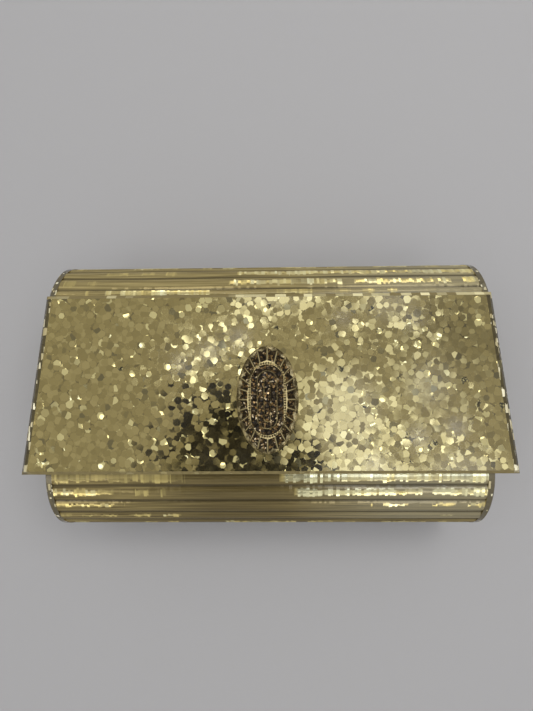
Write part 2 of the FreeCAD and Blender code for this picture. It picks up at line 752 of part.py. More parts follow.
def feature(label, shape):
    """A sub-part of the ornament whose shape is made by the functions above."""
    item = doc.addObject("Part::Feature", label)
    item.Label = label
    item.Shape = shape
    place(item, y=EMBLEM_Y, z=FLAP_FRONT)
    return item


def make_emblem_screws():
    """The two flat-headed screws that hold the ornament from behind the flap."""
    screws = new_body("emblem_screws", y=EMBLEM_Y, z=FLAP_REAR)
    screws.AllowCompound = True
    heads = new_sketch(screws, "heads", "XY_Plane")
    draw_circles(heads, bolt_places("0"), "bolt_head_radius")
    extrude(screws, "Pad", heads, "bolt_head_thickness")
    shanks = new_sketch(screws, "shanks", "XY_Plane")
    draw_circles(shanks, bolt_places("0"), "bolt_radius")
    extrude(screws, "Pad", shanks, "flap_thickness + collar_thickness + bolt_bite")
    return screws


def make_parts():
    """Every sub-part of the bag."""
    parts = [make_back_panel(), make_front_panel(), make_rear_rail(), make_bottom_rail()]
    parts += [make_lid_rail(), make_flap_panel()]
    knuckles = range(round(number("knuckle_count")))
    for name, hand in SIDES.items():
        parts.append(make_end_panel(f"{name}_end_panel", hand))
        parts.append(make_lid_cheek(f"{name}_lid_cheek", hand))
        seat = (-1, LID_LEAF_ANGLE, LID_LEAF_SEAT)
        running = "pin_radius + pin_fit"
        parts.append(make_leaf(f"{name}_hinge_lid_leaf", hand, *seat, running, knuckles[0::2]))
        seat = (1, BODY_LEAF_ANGLE, BODY_LEAF_SEAT)
        gripping = "pin_radius + pin_grip"
        parts.append(make_leaf(f"{name}_hinge_body_leaf", hand, *seat, gripping, knuckles[1::2]))
        parts.append(make_pin(f"{name}_hinge_pin", hand))
    parts.append(make_rivets("hinge_lid_rivets", -1, LID_LEAF_ANGLE, LID_LEAF_SEAT))
    parts.append(make_rivets("hinge_body_rivets", 1, BODY_LEAF_ANGLE, BODY_LEAF_SEAT))
    parts.append(make_magnets("body_magnets", "body_depth - magnet_thickness"))
    parts.append(make_magnets("flap_magnets", FLAP_REAR))
    parts += [make_emblem_collar(), make_emblem_boss(), make_emblem_stones(), make_emblem_screws()]
    return parts


def write_parts(parts):
    """Writes each sub-part once all of them are sound."""
    doc.recompute()
    for item in doc.Objects:
        if "Invalid" in item.State or "Error" in item.State:
            raise RuntimeError(f"{item.Label} failed: {item.State}")
    for item in parts:
        if item.Shape.isNull() or not item.Shape.isValid():
            raise RuntimeError(f"{item.Label} has no sound shape")
    os.makedirs("parts", exist_ok=True)
    for item in parts:
        item.Shape.exportStep(os.path.join("parts", f"{item.Label}.step"))
        box = item.Shape.BoundBox
        print(f"{item.Label}: {len(item.Shape.Solids)} solids, {item.Shape.Volume:.1f} mm3, {box}")


write_parts(make_parts())
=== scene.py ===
import bmesh
import bpy
import math
from mathutils import Matrix, Vector


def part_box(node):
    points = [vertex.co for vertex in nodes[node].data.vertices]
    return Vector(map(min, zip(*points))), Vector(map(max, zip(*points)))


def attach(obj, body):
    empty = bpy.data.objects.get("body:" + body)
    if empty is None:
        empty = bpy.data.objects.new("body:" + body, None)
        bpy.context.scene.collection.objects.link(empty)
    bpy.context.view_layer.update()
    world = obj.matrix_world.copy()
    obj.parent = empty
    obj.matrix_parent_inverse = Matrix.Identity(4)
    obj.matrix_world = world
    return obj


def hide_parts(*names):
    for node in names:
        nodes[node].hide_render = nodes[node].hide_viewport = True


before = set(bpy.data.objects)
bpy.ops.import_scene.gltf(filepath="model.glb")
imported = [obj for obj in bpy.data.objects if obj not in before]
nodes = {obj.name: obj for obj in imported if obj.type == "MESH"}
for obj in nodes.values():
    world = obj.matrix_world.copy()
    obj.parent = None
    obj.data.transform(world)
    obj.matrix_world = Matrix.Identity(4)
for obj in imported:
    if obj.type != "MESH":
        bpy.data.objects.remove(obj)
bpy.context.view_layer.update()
print("frame loaded:", len(nodes), "nodes")


class Signal:  # one output of a shader node; expressions on signals add Math nodes
    def __init__(self, shader, socket):
        self.shader = shader
        self.socket = socket

    def math(self, operation, first, second=0.0):
        return self.shader.node("ShaderNodeMath", {"operation": operation}, {0: first, 1: second})["Value"]

    def __add__(self, other):
        return self.math("ADD", self, other)

    def __sub__(self, other):
        return self.math("SUBTRACT", self, other)

    def __rsub__(self, other):
        return self.math("SUBTRACT", other, self)

    def __mul__(self, other):
        return self.math("MULTIPLY", self, other)

    def __truediv__(self, other):
        return self.math("DIVIDE", self, other)

    def __rtruediv__(self, other):
        return self.math("DIVIDE", other, self)

    def __lt__(self, other):
        return self.math("LESS_THAN", self, other)

    def __gt__(self, other):
        return self.math("GREATER_THAN", self, other)

    def __abs__(self):
        return self.math("ABSOLUTE", self)

    def floor(self):
        return self.math("FLOOR", self)

    def most(self, other):
        return self.math("MAXIMUM", self, other)

    def least(self, other):
        return self.math("MINIMUM", self, other)

    def held(self):  # kept between 0 and 1
        return self.most(0.0).least(1.0)

    __radd__ = __add__
    __rmul__ = __mul__


class Shader:  # a node tree that nodes are added to
    def __init__(self, tree):
        self.tree = tree
        tree.nodes.clear()

    def node(self, kind, settings=None, inputs=None):
        item = self.tree.nodes.new(kind)
        for key, value in (settings or {}).items():
            if key == "stops":
                self.setStops(item.color_ramp, value)
            else:
                setattr(item, key, value)
        for key, value in (inputs or {}).items():
            named = [socket for socket in item.inputs if socket.name == key and socket.enabled]
            socket = named[0] if named else item.inputs[key]
            if isinstance(value, Signal):
                self.tree.links.new(value.socket, socket)
            else:
                socket.default_value = value
        return {socket.name: Signal(self, socket) for socket in item.outputs if socket.enabled}

    def setStops(self, ramp, stops):
        while len(ramp.elements) < len(stops):
            ramp.elements.new(1.0)
        for element, (place, colour) in zip(ramp.elements, stops):
            element.position = place
            element.color = (*colour, 1.0)

    def vector(self, operation, first, second=(0.0, 0.0, 0.0)):
        return self.node("ShaderNodeVectorMath", {"operation": operation}, {0: first, 1: second})["Vector"]

    def scaled(self, first, amount):
        inputs = {0: first, "Scale": amount}
        return self.node("ShaderNodeVectorMath", {"operation": "SCALE"}, inputs)["Vector"]

    def swing(self, colour):  # a random colour as a lean to any side
        return self.vector("SUBTRACT", colour, (0.5, 0.5, 0.5))

    def mixed(self, kind, share, first, second):
        inputs = {"Factor": share, "A": first, "B": second}
        return self.node("ShaderNodeMix", {"data_type": kind}, inputs)["Result"]

    def mixColour(self, share, first, second):
        return self.mixed("RGBA", share, first, second)

    def mixVector(self, share, first, second):
        return self.mixed("VECTOR", share, first, second)

    def ramp(self, stops, value):
        return self.node("ShaderNodeValToRGB", {"stops": stops}, {"Fac": value})["Color"]

    def noise(self, spot, often, detail, dimensions="3D"):
        inputs = {"Vector": spot, "Scale": often, "Detail": detail}
        return self.node("ShaderNodeTexNoise", {"noise_dimensions": dimensions}, inputs)

    def stretches(self, along, length):  # three random values for each uneven stretch of a line
        inputs = {"W": along, "Scale": 1.0 / length}
        return self.parted(self.node("ShaderNodeTexVoronoi", {"voronoi_dimensions": "1D"}, inputs)["Color"])

    def joined(self, x, y, z=0.0):
        return self.node("ShaderNodeCombineXYZ", {}, {"X": x, "Y": y, "Z": z})["Vector"]

    def parted(self, vector):
        parts = self.node("ShaderNodeSeparateXYZ", {}, {"Vector": vector})
        return parts["X"], parts["Y"], parts["Z"]

    def place(self):
        return self.node("ShaderNodeTexCoord")["Object"]


def newMaterial(name):
    material = bpy.data.materials.new(name)
    material.use_nodes = True
    return material, Shader(material.node_tree)


def finishMaterial(shader, inputs):
    surface = shader.node("ShaderNodeBsdfPrincipled", {}, inputs)
    shader.node("ShaderNodeOutputMaterial", {}, {"Surface": surface["BSDF"]})


def dressNodes(material, names):
    for name in names:
        nodes[name].data.materials.clear()
        nodes[name].data.materials.append(material)


# gold flakes cast in clear acrylic: several sheets of six-sided mirror flakes under a glossy skin
flakeLook = {
    "across": 0.0033,
    "sizes": (0.72, 0.35),  # smallest flake as a share of that, and how much more the largest is
    "sheets": 5,
    "sheetShift": (0.0137, 0.0271),  # from one sheet to the next
    # the deeper flakes between the sheets: gold, painted darker as in the shade of the sheets above
    "ground": (0.20, 0.155, 0.058, 1.0),
    "tones": [
        (0.00, (0.17, 0.142, 0.062)), (0.07, (0.30, 0.236, 0.084)), (0.50, (0.355, 0.282, 0.104)),
        (0.86, (0.43, 0.346, 0.135)), (0.935, (0.45, 0.37, 0.15)), (0.94, (0.74, 0.64, 0.29)),
    ],
    "waves": (70.0, 0.08),  # the sheets are a little wavy: how often, and how far a flake leans with them
    "tilt": (0.065, 0.85),  # how far a flake leans by itself, and how much further a loose one does
    "bow": 0.14,  # how far a loose flake is bent
    "loose": 0.94,  # flakes past this on the scale of tones are loose
    "shade": (0.22, 0.16),  # painted shadow round each flake: how dark, and how wide as a share of a flake
    "roughness": 0.075,
    "specular": 0.2,
    "skin": 0.5,
    "skinRoughness": 0.10,
    # the flap's skin is glossier to the right: from where, over what length and by how much
    "veil": (0.02, 0.05, 0.4),
}
sixSides = (0.5, 0.866)  # cosine and sine of 60 degrees
edgeLook = {
    "dark": (0.034, 0.028, 0.017, 1.0),
    "rim": (0.105, 0.092, 0.066, 1.0),
    "cover": 0.85,  # how far these two hide the flakes
    "step": (0.0013, 0.0036, 0.0013),  # size of a group of flakes seen on edge
    "flapShare": 0.44,  # how many of them flash as painted glints
    "rimShare": 0.20,
    "flash": (0.2, 0.4),  # smallest painted glint as a share of a group, and how much more the largest is
    # colours of the painted glints, from gold to pale
    "paintedGlint": ((0.42, 0.34, 0.15, 1.0), (1.0, 0.93, 0.66, 1.0)),
    "olive": (0.235, 0.185, 0.078, 1.0),
    "lowerOlive": 0.7,  # how far it hides the flakes of the flap's lower edge
    # colour of the painted highlight bars on the flap's top edge
    "bar": (0.95, 0.85, 0.48, 1.0),
    "barLength": 0.0042,
    # the flap's top edge has more painted highlight bars to the right: from where, how fast, how many more
    # and how few
    "barsAlong": (-0.045, 12.0, 0.65, 0.1),
    "barCrisp": 5.0,
    "barLight": (0.3, 0.7),  # of the dimmest bar, and how much more the brightest has
    "flapDull": (0.85, 0.9),  # shares of the metal and of the skin that the flap's edges lose
    "rimDull": (0.8, 0.4),  # metal and skin taken off at the edges of the ends
    "margin": 0.00005,  # how far below a face its edges begin
    "strip": 0.0012,  # width in which the bevel's back shows through the flap's face
    "bevel": 0.0015,
}


def flakeSheets(shader, spot, look):
    colour = look["ground"]
    tilt = (0.0, 0.0, 0.0)
    across = look["across"]
    small, larger = look["sizes"]
    shiftX, shiftY = look["sheetShift"]
    often, wavy = look["waves"]
    lying, leaning = look["tilt"]
    shade, shadeWidth = look["shade"]
    cosine, sine = sixSides
    for sheet in range(look["sheets"]):
        moved = shader.vector("ADD", spot, (shiftX * sheet, shiftY * sheet, 0.0))
        cell = shader.node("ShaderNodeTexVoronoi", {"voronoi_dimensions": "2D"}, {
            "Vector": moved, "Scale": 1.0 / across})
        chance = shader.node("ShaderNodeTexWhiteNoise", {}, {"Vector": cell["Color"]})["Color"]
        luckA, luckB, luckC = shader.parted(chance)
        away = shader.vector("SUBTRACT", moved, cell["Position"])
        turned = shader.node("ShaderNodeVectorRotate", {"rotation_type": "Z_AXIS"}, {
            "Vector": away, "Angle": luckA * math.tau})["Vector"]
        x, y, _ = shader.parted(turned)
        reach = abs(x).most(abs(x) * cosine + abs(y) * sine)
        edge = (luckB * larger + small) * (across * 0.5)
        inside = reach < edge
        # painted shadow: the sheets below darken just outside each flake's edge
        shadow = (1.0 - (reach - edge) / (across * shadeWidth)).held() * shade
        colour = shader.mixColour(shadow, colour, look["ground"])
        colour = shader.mixColour(inside, colour, shader.ramp(look["tones"], luckC))
        loose = luckC > look["loose"]
        lean = shader.scaled(shader.swing(cell["Color"]), loose * leaning + lying)
        bow = shader.scaled(away, loose * (look["bow"] / across))
        wave = shader.noise(cell["Position"], often, detail=1.0, dimensions="2D")["Color"]
        bumpy = shader.vector("ADD", shader.scaled(shader.swing(wave), wavy), bow)
        tilt = shader.mixVector(inside, tilt, shader.vector("ADD", lean, bumpy))
    return colour, tilt


def finishFlakes(shader, colour, tilt, metal, skin, look):
    normal = shader.node("ShaderNodeNewGeometry")["Normal"]
    leaning = shader.vector("NORMALIZE", shader.vector("ADD", normal, tilt))
    finishMaterial(shader, {
        "Base Color": colour, "Metallic": metal, "Roughness": look["roughness"], "Normal": leaning,
        "Specular IOR Level": look["specular"], "Coat Weight": skin, "Coat Roughness": look["skinRoughness"],
    })


def edgeWithPaintedGlints(shader, mask, spot, colour, plain, share):  # a dark polished edge, where some flakes flash as painted glints
    cell = shader.node("ShaderNodeTexVoronoi", {"distance": "CHEBYCHEV"}, {
        "Vector": shader.vector("DIVIDE", spot, edgeLook["step"]), "Scale": 1.0})
    luck, size, white = shader.parted(cell["Color"])
    small, larger = edgeLook["flash"]
    flash = (luck < share) * (cell["Distance"] < size * larger + small) * mask
    colour = shader.mixColour(mask * edgeLook["cover"], colour, plain)
    gold, pale = edgeLook["paintedGlint"]
    return shader.mixColour(flash, colour, shader.mixColour(white, gold, pale))


def flapFlakes(look):
    material, shader = newMaterial("flapFlakes")
    low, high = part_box("flap_panel")
    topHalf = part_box("right_lid_cheek")[1].x  # the flap is as wide as the body at its top
    spot = shader.place()
    x, y, z = shader.parted(spot)
    colour, tilt = flakeSheets(shader, shader.joined(x, y + z), look)
    margin = edgeLook["margin"]
    bevel = edgeLook["bevel"]
    half = (high.y - y) * ((high.x - topHalf) / (high.y - low.y)) + topHalf
    side = (abs(x) > half - bevel - edgeLook["strip"]) * (z > low.z + margin)
    edge = (z < high.z - margin) * (z > low.z + margin)
    top = edge * (y > high.y - bevel - margin)
    bottom = edge * (y < low.y + bevel + margin)
    colour = edgeWithPaintedGlints(shader, side, spot, colour, edgeLook["dark"], edgeLook["flapShare"])
    # painted highlight bars along the flap's top edge
    luck, bright, _ = shader.stretches(x, edgeLook["barLength"])
    start, fast, many, few = edgeLook["barsAlong"]
    often = ((x - start) * fast).held() * many + few
    dim, brighter = edgeLook["barLight"]
    shown = ((often - luck) * edgeLook["barCrisp"]).held() * (bright * brighter + dim)
    colour = shader.mixColour(top, colour, shader.mixColour(shown, edgeLook["olive"], edgeLook["bar"]))
    colour = shader.mixColour(bottom * edgeLook["lowerOlive"], colour, edgeLook["olive"])
    tilt = shader.mixVector(top, tilt, (0.0, 0.0, 1.0))
    start, length, more = look["veil"]
    gloss = ((x - start) / length).held() * more + look["skin"]
    dull = (side + edge).held()
    lessMetal, lessSkin = edgeLook["flapDull"]
    finishFlakes(shader, colour, tilt, 1.0 - dull * lessMetal, gloss * (1.0 - dull * lessSkin), look)
    return material


def panelFlakes(look):
    material, shader = newMaterial("panelFlakes")
    x, y, z = shader.parted(shader.place())
    colour, tilt = flakeSheets(shader, shader.joined(x, y + z), look)
    finishFlakes(shader, colour, tilt, 1.0, look["skin"], look)
    return material


def endFlakes(look):
    material, shader = newMaterial("endFlakes")
    low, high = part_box("right_end_panel")
    spot = shader.place()
    x, y, z = shader.parted(spot)
    colour, tilt = flakeSheets(shader, shader.joined(y, z + x), look)
    margin = edgeLook["margin"]
    rim = (abs(x) < high.x - margin) * (abs(x) > low.x + margin)  # the sawn and polished edge
    colour = edgeWithPaintedGlints(shader, rim, spot, colour, edgeLook["rim"], edgeLook["rimShare"])
    lessMetal, lessSkin = edgeLook["rimDull"]
    finishFlakes(shader, colour, tilt, 1.0 - rim * lessMetal, look["skin"] - rim * lessSkin, look)
    return material


# reeded rails: each reed is a lens that draws the flakes under it out into broken bars, painted on as
# highlights
reedLook = {
    # for each rail: angles of the first and last groove and of the bead beside the flap, and how far a
    # bright bar is turned up; for a reed's number, where its painted highlight bars lie across it, half
    # their width, and stretches along it (from, to, how many bars and how bright); the colours of the
    # streaks between them, painted paler on the lid rail and darker on the bottom rail as light and shade
    "bottom_rail": {
        "reeds": 12, "from": 0.0, "to": 180.0, "lift": 1.6,
        "rows": {
            0: (0.46, 0.40, [(-0.101, -0.036, 1.00, 0.10), (0.006, 0.110, 1.05, 0.95)]),
            1: (0.42, 0.28, [
                (-0.101, -0.070, 0.95, 0.60), (-0.065, -0.045, 0.75, 0.15), (0.012, 0.110, 0.88, 0.95),
            ]),
            2: (0.32, 0.17, [
                (-0.103, -0.066, 0.90, 0.55), (0.044, 0.062, 0.75, 0.70), (0.067, 0.098, 0.60, 0.45),
            ]),
            3: (0.30, 0.14, [(-0.098, -0.040, 0.70, 0.35), (0.060, 0.085, 0.30, 0.60)]),
        },
        "streaks": ((0.115, 0.085, 0.030, 1.0), (0.32, 0.248, 0.095, 1.0)),
    },
    "lid_rail": {
        "reeds": 6, "from": 30.05, "to": 120.0, "bead": 23.6, "lift": 3.3,
        "rows": {
            -1: (0.50, 0.60, [
                (-0.101, -0.080, 0.45, 0.55), (-0.074, -0.024, 0.95, 0.65), (-0.018, 0.100, 0.15, 0.45),
            ]),
            0: (0.50, 0.29, [(-0.100, -0.060, 0.12, 0.30), (-0.016, 0.110, 0.92, 0.66)]),
            1: (0.45, 0.27, [(-0.080, -0.040, 0.55, 0.40), (-0.014, 0.110, 0.95, 0.66)]),
        },
        "streaks": ((0.185, 0.142, 0.054, 1.0), (0.42, 0.335, 0.135, 1.0)),
    },
    "rear_rail": {
        "reeds": 4, "from": 120.72, "to": 180.0, "lift": 1.6, "rows": {},
        "streaks": ((0.150, 0.115, 0.043, 1.0), (0.37, 0.290, 0.115, 1.0)),
    },
    "plainRow": (0.47, 0.22, 0.5, 0.5),  # of the other reeds: place, half width, how many and how bright
    "plainLift": 0.5,
    "fade": 0.004,  # length over which a stretch of bars ends
    "barLength": (0.0055, 0.137),  # and how far the bars move on from reed to reed
    "fineLength": (0.0012, 0.071),  # the same for the small breaks in a bar
    "barWidth": (0.45, 0.45, 0.35),  # share that differs by bar, share that differs by break, and the least
    "barCrisp": (12.0, 6.0),  # across the reed and along it
    "wander": 0.12,  # how far a bar moves across the reed at a break
    "sway": 0.12,  # how far it turns there
    "breakLight": (0.35, 0.65),  # of the dimmest break, and how much more the brightest has
    "toneSpread": (0.5, 0.4),  # by bar and by break
    "grain": (25.0, 8.0, 7.3),  # how often the streaks change along a reed, across it and from reed to reed
    "contrast": 3.2,
    "groove": (0.085, 1.5, 0.7),  # painted shade along each groove: width as a share of a reed, how full and how dark
    # painted dark reflection on the dullest stretch of the bottom rail: middle, reach, how full and how dull
    "darkReflection": (-0.012, 0.042, 1.3, 0.75),
    # colours of the painted highlight bars, dim to bright
    "bars": [
        (0.0, (0.40, 0.325, 0.118)), (0.5, (0.78, 0.63, 0.23)), (1.0, (1.0, 0.95, 0.56)),
    ],
    # colour of the painted shade in the grooves
    "dark": (0.040, 0.030, 0.012, 1.0),
    # painted sheen: the upper reeds turn paler to the right: from where, over what length, how far and down
    # to which reed
    "paleSheen": (0.01, 0.05, 0.45, 3.5),
    "sheenColour": (0.36, 0.335, 0.235, 1.0),
    "metal": (0.3, 0.8),  # of the plain reed and of a bright bar
    "skin": 0.25,
}


def centreOf(rail):  # the middle line that a rail's reeds go round
    if rail == "bottom_rail":
        low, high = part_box("left_end_panel")
        radius = high.z / 2
        return Vector((0.0, low.y + radius, radius))
    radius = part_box("flap_panel")[1].z / 2
    return Vector((0.0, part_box("left_lid_cheek")[1].y - radius, radius))


def acrossReed(shader, name):  # number of the reed at a spot, and the share of the way across it
    rail = reedLook[name]
    middle = centreOf(name)
    x, y, z = shader.parted(shader.place())
    outward = (y - middle.y) * (-1.0 if name == "bottom_rail" else 1.0)
    angle = outward.math("ARCTAN2", outward, z - middle.z)
    first = math.radians(rail["from"])
    pitch = math.radians(rail["to"] - rail["from"]) / rail["reeds"]
    turn = (angle - first) / pitch
    reed = turn.floor()
    share = turn - reed
    if "bead" in rail:
        bead = math.radians(rail["bead"])
        inBead = turn < 0.0
        share = inBead * ((angle - bead) / (first - bead)) + (1.0 - inBead) * share
    return x, reed, share, z > middle.z


def barRow(name, x, reed):  # how many painted highlight bars a reed shows at a spot, how bright, where and how wide
    middle, width, many, bright = reedLook["plainRow"]
    for number, (rowMiddle, rowWidth, stretches) in reedLook[name]["rows"].items():
        here = abs(reed - number) < 0.5
        middle = here * (rowMiddle - middle) + middle
        width = here * (rowWidth - width) + width
        many = (1.0 - here) * many
        bright = (1.0 - here) * bright
        for start, stop, rowMany, rowBright in stretches:
            within = ((stop - start) / 2 - abs(x - (start + stop) / 2)) / reedLook["fade"]
            shown = here * (within + 0.5).held()
            many = shown * rowMany + many
            bright = shown * rowBright + bright
    return many, bright, middle, width


def railFlakes(name, look):
    material, shader = newMaterial(name + "Flakes")
    x, reed, share, upper = acrossReed(shader, name)
    many, bright, middle, width = barRow(name, x, reed)
    barLength, barShift = reedLook["barLength"]
    luckA, luckB, luckC = shader.stretches(x + reed * barShift, barLength)
    fineLength, fineShift = reedLook["fineLength"]
    fineA, fineB, _ = shader.stretches(x + reed * fineShift, fineLength)
    # streaks between the bars, with a painted dark reflection on a stretch of the bottom rail
    over, reach, full, duller = reedLook["darkReflection"]
    darkReflection = (full - abs(x - over) / reach).held() * (duller if name == "bottom_rail" else 0.0)
    along, across, onward = reedLook["grain"]
    spot = shader.joined(x * along, share * across + reed * onward)
    grain = shader.noise(spot, 1.0, detail=3.0)["Fac"]
    # painted light and shade: the streaks of one acrylic are paler on the lid rail, darker on the bottom
    # rail
    dull, light = reedLook[name]["streaks"]
    streak = ((grain - 0.5) * reedLook["contrast"] + 0.5).held() * (1.0 - darkReflection)
    colour = shader.mixColour(streak, dull, light)
    # painted sheen: the upper reeds turn paler to the right
    start, length, most, last = reedLook["paleSheen"]
    pale = ((x - start) / length).held() * (reed < last) * most
    colour = shader.mixColour(pale, colour, reedLook["sheenColour"])
    # bars: painted highlights
    byBar, byBreak, least = reedLook["barWidth"]
    crispAcross, crispAlong = reedLook["barCrisp"]
    halfBar = width * (luckB * byBar + fineB * byBreak + least)
    zone = ((halfBar - abs(share - middle - (fineA - 0.5) * reedLook["wander"])) * crispAcross).held()
    dim, brighter = reedLook["breakLight"]
    shown = zone * (((many - luckA) * crispAlong).held() * (fineA * brighter + dim))
    byBar, byBreak = reedLook["toneSpread"]
    tone = bright + (luckC - 0.5) * byBar + (fineB - 0.5) * byBreak
    colour = shader.mixColour(shown, colour, shader.ramp(reedLook["bars"], tone))
    # painted shade in the grooves between the reeds
    line, full, dark = reedLook["groove"]
    groove = (full - (0.5 - abs(share - 0.5)) / line).held()
    colour = shader.mixColour(groove * dark, colour, reedLook["dark"])
    # the flakes lie flat, however the reed over them is curved
    flat = upper * (shown * reedLook[name]["lift"] + reedLook["plainLift"])
    tilt = shader.joined((fineB - 0.5) * reedLook["sway"], 0.0, flat)
    dullMetal, barMetal = reedLook["metal"]
    metal = shown * bright * (barMetal - dullMetal) + dullMetal
    finishFlakes(shader, colour, tilt, metal, reedLook["skin"], look)
    return material


dressNodes(flapFlakes(flakeLook), ["flap_panel"])
dressNodes(panelFlakes(flakeLook), ["front_panel", "back_panel"])
dressNodes(endFlakes(flakeLook), ["left_end_panel", "right_end_panel", "left_lid_cheek", "right_lid_cheek"])
for rail in ("bottom_rail", "lid_rail", "rear_rail"):
    dressNodes(railFlakes(rail, flakeLook), [rail])
print("flakes done")

# ornament: a gadrooned oval boss of antique brass, with beaded lines and a crown set with stones
bossLook = {
    "rays": 24,
    "perRay": 12,
    "rings": 14,
    "rayDepth": 0.0011,
    "ridge": 0.00028,  # the thin raised line along each ray
    "swell": 0.35,  # share of the rise at which the boss is widest
    "doming": 1.4,  # how late the sides turn in towards the rim
    "foot": (0.03, 0.8),  # how far in it stands, and how deep the rays are there
    "rayEnd": 4,  # how suddenly the rays end at the rim
    "rayWear": (0.85, 3),  # how far their crests are rubbed, and how narrowly
    "rimWidth": 0.0015,
    "crownSlope": 0.0028,
    "crownRise": 0.0019,
    "crownSteps": 120,
    "crownLevels": [(0.0, 0.3), (0.06, 0.5), (0.90, 0.5), (1.0, 1.0), (1.06, 0.5)],  # share of slope, wear
    "tableEdge": 0.0015,  # from the middle of a stone to the edge of the crown's table
    "halfRow": 0.00795,
    "ovalSteps": 4000,
}
stoneLook = {
    "pitch": 0.00265, "rowStones": 7, "girdle": 0.00122, "table": 0.00078, "rise": 0.00058, "sunk": 0.0002,
    "sides": 8,
    "turn": 0.37,  # from stone to stone
    "facet": 0.00075,
    "tilt": 0.7,
    "finish": {"Metallic": 0.7, "Roughness": 0.1, "Coat Weight": 0.35, "Coat Roughness": 0.02},
    # tones of the stones at random, black-brown to amber; the palest are painted glints over their real
    # reflections
    "tones": [
        (0.00, (0.012, 0.009, 0.006)), (0.55, (0.030, 0.021, 0.011)), (0.78, (0.10, 0.065, 0.026)),
        (0.92, (0.38, 0.23, 0.080)), (1.00, (0.95, 0.80, 0.52)),
    ],
}
beadLook = {
    "step": 1.08, "around": 8, "rings": 5,
    "rim": (0.0006, 0.0005),  # how far outside its line a bead lies, and its radius
    "table": (-0.0001, 0.0003),
    "row": (0.0, 0.0003),
    "collar": (-1.2, -0.5, 0.00052),  # how far outside the edge and above the top, in radii, and the radius
}
tableReach = stoneLook["pitch"] + bossLook["tableEdge"]  # from the middle row of stones to the table's edge
crownReach = tableReach + bossLook["crownSlope"]


def onOval(turn, halfWidth, halfLength):
    return Vector((halfWidth * math.cos(turn), halfLength * math.sin(turn), 0.0))


def evenTurns(halfWidth, halfLength, count):  # angles that divide an oval into equal lengths
    steps = bossLook["ovalSteps"]
    fine = [math.tau * step / steps for step in range(steps + 1)]
    points = [onOval(turn, halfWidth, halfLength) for turn in fine]
    run = [0.0]
    for first, second in zip(points, points[1:]):
        run.append(run[-1] + (second - first).length)
    turns = []
    at = 0
    for step in range(count):
        while run[at + 1] < run[-1] * step / count:
            at += 1
        turns.append(fine[at])
    return turns


def onTrack(share, reach):  # a round-ended outline round the middle row: the spot and the way out
    half = bossLook["halfRow"]
    side = 2 * half
    bend = math.pi * reach
    run = share % 1.0 * 2 * (side + bend)
    for sign in (1.0, -1.0):
        if run < side:
            return Vector((sign * reach, sign * (run - half), 0.0)), Vector((sign, 0.0, 0.0))
        run -= side
        if run < bend:
            out = Vector((sign * math.cos(run / reach), sign * math.sin(run / reach), 0.0))
            return Vector((0.0, sign * half, 0.0)) + out * reach, out
        run -= bend
    return Vector((reach, -half, 0.0)), Vector((1.0, 0.0, 0.0))


def trackLength(reach):
    return 4 * bossLook["halfRow"] + math.tau * reach


def newPiece(name, mesh, material, smooth=True):
    data = bpy.data.meshes.new(name)
    bmesh.ops.recalc_face_normals(mesh, faces=mesh.faces)
    for face in mesh.faces:
        face.smooth = smooth
    mesh.to_mesh(data)
    mesh.free()
    data.materials.append(material)
    piece = bpy.data.objects.new(name, data)
    bpy.context.scene.collection.objects.link(piece)
    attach(piece, "lid")
    return piece


def startRing(mesh, count):
    circle = bmesh.ops.create_circle(mesh, segments=count, radius=1.0)["verts"]
    loop = sorted(circle, key=lambda vert: math.atan2(vert.co.y, vert.co.x) % math.tau)
    edges = list({edge for vert in circle for edge in vert.link_edges})
    return loop, edges


def nextRing(mesh, loop, edges):
    found = bmesh.ops.extrude_edge_only(mesh, edges=edges)["geom"]
    raised = {item for item in found if isinstance(item, bmesh.types.BMVert)}
    edges = [item for item in found if isinstance(item, bmesh.types.BMEdge)]
    above = {}
    for vert in raised:
        for edge in vert.link_edges:
            if edge.other_vert(vert) not in raised:
                above[edge.other_vert(vert)] = vert
    return [above[vert] for vert in loop], edges


def growSkirt(mesh, crest, low, high, middle):  # the rays, from the foot up to the rim
    rim = high.z - bossLook["crownRise"]
    halfWidth = (high.x - low.x) / 2
    halfLength = (high.y - low.y) / 2
    rimWidth = crownReach + bossLook["rimWidth"]
    rimLength = rimWidth + bossLook["halfRow"]
    footIn, footDepth = bossLook["foot"]
    rubbed, narrow = bossLook["rayWear"]
    turns = evenTurns(halfWidth, halfLength, bossLook["rays"] * bossLook["perRay"])
    loop, edges = startRing(mesh, len(turns))
    for step in range(-1, bossLook["rings"] + 1):
        climb = max(step, 0) / bossLook["rings"]
        up = 0.0 if step < 0 else bossLook["swell"] + (1.0 - bossLook["swell"]) * climb
        inward = footIn if step < 0 else climb ** bossLook["doming"]
        wide = halfWidth + (rimWidth - halfWidth) * inward
        long = halfLength + (rimLength - halfLength) * inward
        depth = footDepth if step < 0 else 1.0 - climb ** bossLook["rayEnd"]
        if step >= 0:
            loop, edges = nextRing(mesh, loop, edges)
        for place, (vert, turn) in enumerate(zip(loop, turns)):
            lobe = abs(math.cos(math.pi * place / bossLook["perRay"]))
            spot = onOval(turn, wide, long)
            cut = bossLook["rayDepth"] * (1.0 - lobe)
            onRidge = place % bossLook["perRay"] == 0
            cut -= bossLook["ridge"] if onRidge else 0.0
            spot = spot * (1.0 - depth * cut / spot.length)
            vert.co = Vector((middle.x + spot.x, middle.y + spot.y, low.z + (rim - low.z) * up))
            vert[crest] = 1.0 if onRidge or step == bossLook["rings"] else rubbed * lobe ** narrow
    bmesh.ops.holes_fill(mesh, edges=edges, sides=0)


